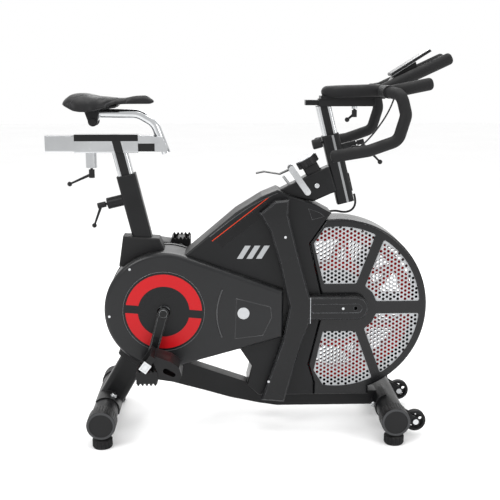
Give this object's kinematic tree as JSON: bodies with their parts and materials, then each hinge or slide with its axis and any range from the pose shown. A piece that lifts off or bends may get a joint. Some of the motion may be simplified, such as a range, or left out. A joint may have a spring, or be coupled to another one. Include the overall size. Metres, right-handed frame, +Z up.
{
  "type": "air bike",
  "caption": "Stationary air bike with an enclosed fan wheel, belt-driven crank with toe-cage pedals, sliding saddle, drop handlebar with forward horns, resistance knob and levelling feet.",
  "frame": {"origin": "On the floor, under the middle of the bike's overall box.", "axes": "+X points forwards to the handlebar, +Y to the rider's left, +Z up. The belt-drive side is -Y."},
  "size_m": [1.246, 0.491, 1.2073],
  "materials": {
    "aluminium": "bright anodised aluminium",
    "belt_rubber": "ribbed belt",
    "black_shell": "satin moulded black plastic",
    "chrome": "chrome plate",
    "foot_rubber": "matt rubber",
    "frame_paint": "satin black powder coat",
    "glossy_shell": "glossy black plastic",
    "grip": "matt moulded rubber",
    "iron": "cast rotor",
    "perforated": "pale silver perforated sheet",
    "red_plastic": "red moulded plastic",
    "red_trim": "red-orange printed film",
    "saddle_cover": "black padded cover",
    "steel": "machined steel"
  },
  "bodies": {
    "frame": {"rear_leg": "frame_paint", "bottom_rail": "frame_paint", "seat_tube": "frame_paint", "spine_tube": "frame_paint", "neck_gusset": "frame_paint", "head_tube": "frame_paint", "tube_fittings": "black_shell", "crank_shell": "frame_paint", "fan_fork": "frame_paint", "fixed_pins": "steel", "rear_stabiliser": "frame_paint", "front_stabiliser": "frame_paint", "stabiliser_end_caps": "black_shell", "fasteners": "steel", "wheel_brackets": "frame_paint", "body_shell_right": "black_shell", "body_shell_left": "black_shell", "belt_cover_right": "black_shell", "belt_cover_left": "black_shell", "cover_discs": "black_shell", "pillar_covers": "black_shell", "cage_shell_right": "black_shell", "cage_shell_left": "black_shell", "grilles": "perforated", "tube_boots": "black_shell", "side_trim": "red_trim", "drive_belt": "belt_rubber", "knob_holder": "black_shell", "brake_bracket": "steel", "sensor_cable": "belt_rubber"},
    "crank": {"crank_axle": "steel", "crank_arms": "steel"},
    "pedal_right_unit": {"pedal_right": "black_shell", "toe_cage_right": "black_shell"},
    "pedal_left_unit": {"pedal_left": "black_shell", "toe_cage_left": "black_shell"},
    "fan": {"fan_wheel": "red_plastic", "fan_rotor": "iron"},
    "magnets": {"magnet_carrier": "steel"},
    "knob": {"resistance_knob": "black_shell"},
    "brake_blade": {"brake_lever": "aluminium"},
    "seat_post_unit": {"seat_post": "chrome"},
    "seat_pin_clamp": {"seat_pin_lever": "steel"},
    "seat_slide_clamp": {"seat_slide_lever": "steel"},
    "seat_rail_unit": {"seat_rail": "chrome"},
    "saddle": {"saddle_pad": "saddle_cover", "saddle_base": "black_shell"},
    "bar_post_unit": {"bar_post": "chrome"},
    "bar_clamp": {"bar_clamp_lever": "steel"},
    "bar_slide_clamp": {"bar_slide_lever": "steel"},
    "handlebar": {"bar_rail": "chrome", "bar_grips": "grip", "console": "glossy_shell", "console_cable": "belt_rubber"},
    "wheel_right": {"transport_wheel_right": "foot_rubber"},
    "wheel_left": {"transport_wheel_left": "foot_rubber"},
    "foot_rear_right_unit": {"foot_rear_right": "foot_rubber"},
    "foot_rear_left_unit": {"foot_rear_left": "foot_rubber"},
    "foot_front_right_unit": {"foot_front_right": "foot_rubber"},
    "foot_front_left_unit": {"foot_front_left": "foot_rubber"}
  },
  "joints": [
    {"name": "crank_spin", "type": "hinge", "parent": "frame", "child": "crank", "pos_m": [-0.264, 0, 0.404], "axis": [0, 1, 0], "continuous": true},
    {"name": "pedal_right_spin", "type": "hinge", "parent": "crank", "child": "pedal_right_unit", "pos_m": [-0.31029, -0.177, 0.24042], "axis": [0, 1, 0], "continuous": true},
    {"name": "pedal_left_spin", "type": "hinge", "parent": "crank", "child": "pedal_left_unit", "pos_m": [-0.21771, 0.177, 0.56758], "axis": [0, 1, 0], "continuous": true},
    {"name": "fan_spin", "type": "hinge", "parent": "frame", "child": "fan", "pos_m": [0.286, 0, 0.404], "axis": [0, 1, 0], "continuous": true},
    {"name": "knob_turn", "type": "hinge", "parent": "frame", "child": "knob", "pos_m": [0.22, 0, 0.812], "axis": [-0.5, 0, 0.866], "range_deg": [0, 330]},
    {"name": "magnet_swing", "type": "hinge", "parent": "frame", "child": "magnets", "pos_m": [0.138, 0.045, 0.47], "axis": [0, 1, 0], "range_deg": [0, 8]},
    {"name": "brake_press", "type": "hinge", "parent": "frame", "child": "brake_blade", "pos_m": [0.139, 0, 0.842], "axis": [0, -1, 0], "range_deg": [0, 3], "stiffness_Nm_per_rad": 4, "springref_deg": -11.46},
    {"name": "seat_post_slide", "type": "slide", "parent": "frame", "child": "seat_post_unit", "axis": [-0.2317, 0, 0.9728], "range_m": [-0.055, 0.16]},
    {"name": "seat_pin_lever_turn", "type": "hinge", "parent": "frame", "child": "seat_pin_clamp", "pos_m": [-0.39015, 0, 0.7453], "axis": [-0.9728, 0, -0.2317], "range_deg": [-60, 60]},
    {"name": "seat_slide_lever_turn", "type": "hinge", "parent": "seat_post_unit", "child": "seat_slide_clamp", "pos_m": [-0.485, 0, 0.84], "axis": [0, 0, 1], "range_deg": [-60, 60]},
    {"name": "seat_rail_slide", "type": "slide", "parent": "seat_post_unit", "child": "seat_rail_unit", "axis": [1, 0, 0], "range_m": [-0.035, 0.08]},
    {"name": "saddle_tilt", "type": "hinge", "parent": "seat_rail_unit", "child": "saddle", "pos_m": [-0.473, 0, 0.991], "axis": [0, -1, 0], "range_deg": [-4, 8]},
    {"name": "bar_post_slide", "type": "slide", "parent": "frame", "child": "bar_post_unit", "axis": [-0.2436, 0, 0.9699], "range_m": [-0.03, 0.09]},
    {"name": "bar_clamp_lever_turn", "type": "hinge", "parent": "frame", "child": "bar_clamp", "pos_m": [0.29591, 0, 0.9099], "axis": [0.9699, 0, 0.2436], "range_deg": [-60, 60]},
    {"name": "bar_slide_lever_turn", "type": "hinge", "parent": "bar_post_unit", "child": "bar_slide_clamp", "pos_m": [0.334, 0, 1.024], "axis": [0, 0, 1], "range_deg": [-60, 60]},
    {"name": "handlebar_slide", "type": "slide", "parent": "bar_post_unit", "child": "handlebar", "axis": [1, 0, 0], "range_m": [-0.03, 0.03], "deforming": ["console_cable"]},
    {"name": "wheel_right_spin", "type": "hinge", "parent": "frame", "child": "wheel_right", "pos_m": [0.531, -0.134, 0.052], "axis": [0, 1, 0], "continuous": true},
    {"name": "wheel_left_spin", "type": "hinge", "parent": "frame", "child": "wheel_left", "pos_m": [0.531, 0.134, 0.052], "axis": [0, 1, 0], "continuous": true},
    {"name": "foot_rear_right_screw", "type": "slide", "parent": "frame", "child": "foot_rear_right_unit", "axis": [0, 0, -1], "range_m": [0, 0.012]},
    {"name": "foot_rear_left_screw", "type": "slide", "parent": "frame", "child": "foot_rear_left_unit", "axis": [0, 0, -1], "range_m": [0, 0.012]},
    {"name": "foot_front_right_screw", "type": "slide", "parent": "frame", "child": "foot_front_right_unit", "axis": [0, 0, -1], "range_m": [0, 0.012]},
    {"name": "foot_front_left_screw", "type": "slide", "parent": "frame", "child": "foot_front_left_unit", "axis": [0, 0, -1], "range_m": [0, 0.012]}
  ],
  "couplings": [
    {"joint": "fan_spin", "follows": "crank_spin", "ratio": 4.375},
    {"joint": "magnet_swing", "follows": "knob_turn", "ratio": 0.0242}
  ]
}
